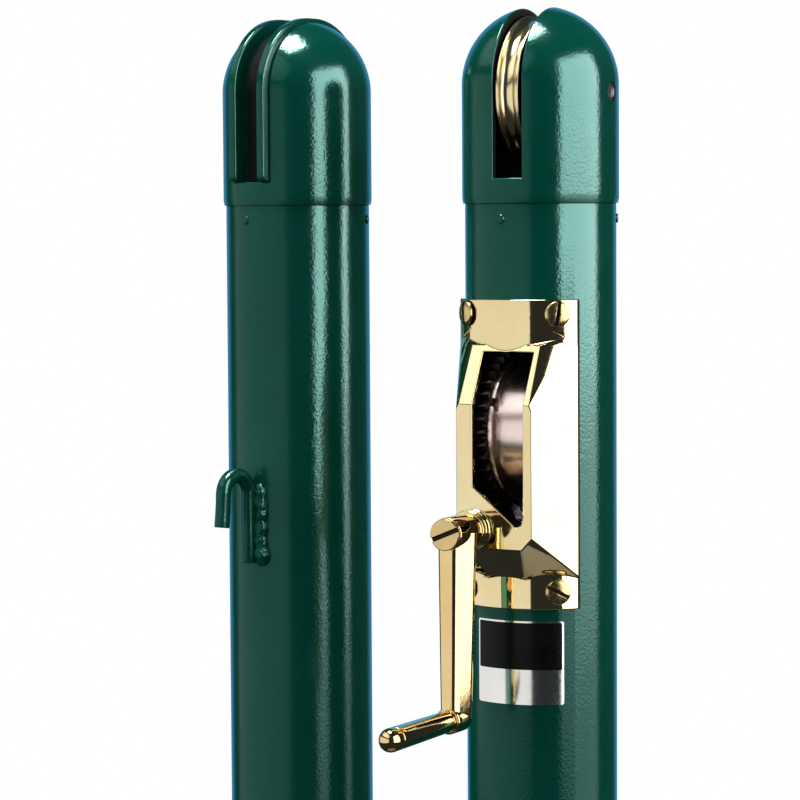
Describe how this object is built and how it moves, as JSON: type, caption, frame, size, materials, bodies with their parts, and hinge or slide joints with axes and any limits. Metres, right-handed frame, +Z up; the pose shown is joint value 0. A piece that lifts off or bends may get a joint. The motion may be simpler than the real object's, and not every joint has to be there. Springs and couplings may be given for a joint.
{
  "type": "tennis net post",
  "caption": "Pair of round green tennis net posts: one with a brass worm winder, crank and top pulley, one with a cable guide and hook.",
  "frame": {"origin": "centre of the winding post's foot, on the ground plane of the socket", "axes": "+Z up along the posts, -Y out through the winder's window, +X to the winding post's right; the anchor post stands to the left"},
  "size_m": [0.232, 0.2093, 1.4271],
  "materials": {
    "green_paint": "gloss",
    "polished_brass": "polished",
    "steel": "satin",
    "bronze": "satin",
    "drum_metal": "polished",
    "dark_iron": "oiled",
    "foot_rubber": "matte",
    "plate_enamel": "satin"
  },
  "bodies": {
    "posts": {"winding_post_tube": "green_paint", "winding_post_cap": "green_paint", "winding_cap_screw_1": "green_paint", "winding_cap_screw_2": "green_paint", "winding_cap_screw_3": "green_paint", "winding_post_foot": "foot_rubber", "anchor_post_tube": "green_paint", "anchor_post_cap": "green_paint", "anchor_cap_screw_1": "green_paint", "anchor_cap_screw_2": "green_paint", "anchor_cap_screw_3": "green_paint", "anchor_post_foot": "foot_rubber", "winder_housing": "polished_brass", "housing_screw_1": "polished_brass", "housing_screw_2": "polished_brass", "housing_screw_3": "polished_brass", "housing_screw_4": "polished_brass", "front_bush": "polished_brass", "rear_bush": "bronze", "pulley_axle": "steel", "axle_spacer_left": "steel", "axle_spacer_right": "steel", "drum_spindle": "steel", "spindle_clip_left": "steel", "spindle_clip_right": "steel", "blank_plate": "plate_enamel", "cable_guide": "green_paint", "cable_hook": "green_paint", "hook_weld": "green_paint"},
    "pulley": {"pulley_wheel": "polished_brass", "pulley_bush": "bronze"},
    "crank": {"crank_shaft": "steel", "worm": "steel", "worm_pin": "steel", "crank_arm": "polished_brass", "crank_screw": "polished_brass", "handle_spindle": "polished_brass"},
    "drum": {"winding_drum": "drum_metal", "worm_wheel": "dark_iron", "drum_bush": "bronze"},
    "grip": {"handle_grip": "polished_brass"}
  },
  "joints": [
    {"name": "pulley_spin", "type": "hinge", "parent": "posts", "child": "pulley", "pos_m": [0, 0, 1.3823], "axis": [1, 0, 0], "continuous": true},
    {"name": "crank_turn", "type": "hinge", "parent": "posts", "child": "crank", "pos_m": [-0.0122, -0.06, 1.1668], "axis": [0, 1, 0], "continuous": true},
    {"name": "drum_spin", "type": "hinge", "parent": "posts", "child": "drum", "pos_m": [0, -0.0099, 1.2143], "axis": [1, 0, 0], "continuous": true},
    {"name": "grip_spin", "type": "hinge", "parent": "crank", "child": "grip", "pos_m": [-0.0122, -0.11, 1.0753], "axis": [0, -1, 0], "continuous": true}
  ],
  "couplings": [
    {"joint": "drum_spin", "follows": "crank_turn", "ratio": 0.026316}
  ]
}
